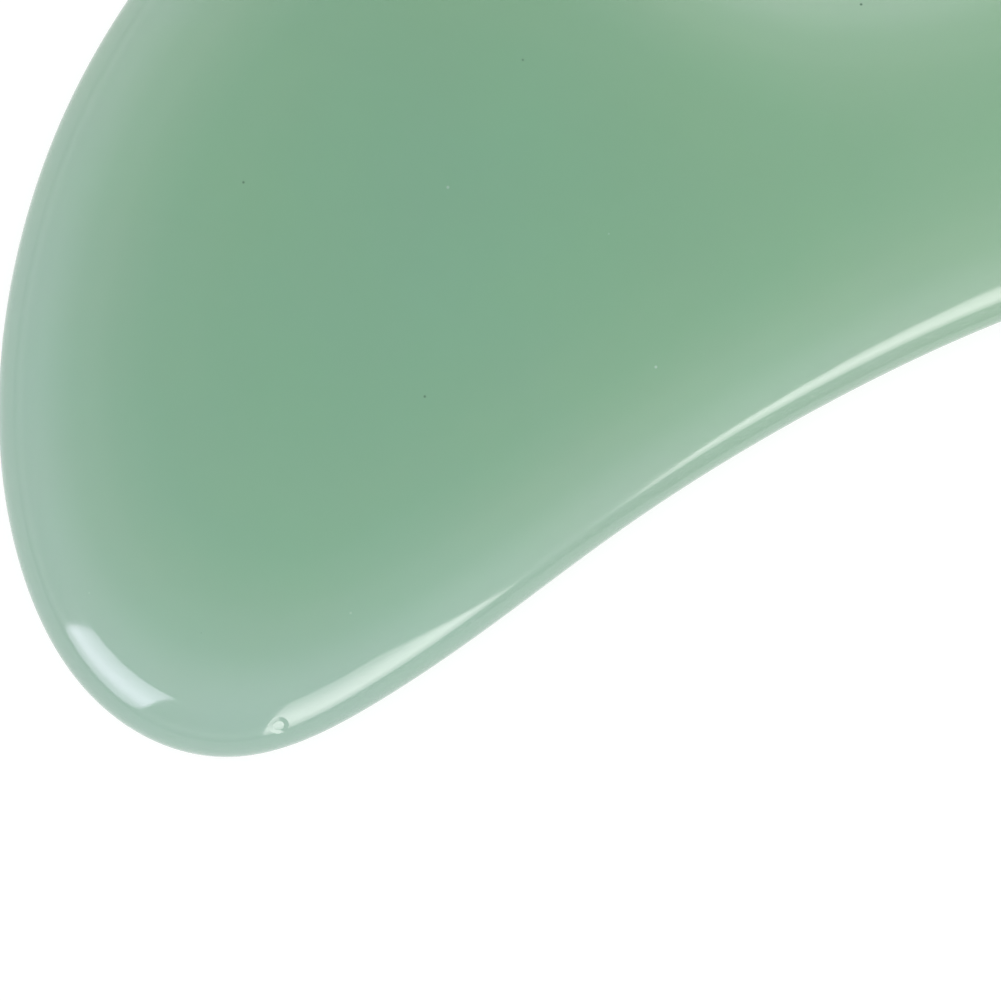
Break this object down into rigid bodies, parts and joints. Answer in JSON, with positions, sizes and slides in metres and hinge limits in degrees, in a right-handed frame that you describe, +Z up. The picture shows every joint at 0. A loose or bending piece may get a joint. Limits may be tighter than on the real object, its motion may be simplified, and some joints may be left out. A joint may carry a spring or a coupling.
{
  "type": "gua sha scraper",
  "caption": "Flat polished stone facial scraper with a big lobe, a small lobe, a notch between them and a long shallow hollow opposite.",
  "frame": {"origin": "on the resting face, under the middle of the board's length and width", "axes": "+X along the board towards the small lobe, +Y across the board towards the notch, +Z up out of the resting face"},
  "size_m": [0.086, 0.0454, 0.006],
  "materials": {
    "stone": "polished, translucent pale green"
  },
  "bodies": {
    "root": {"scraper_body": "stone"}
  },
  "joints": []
}
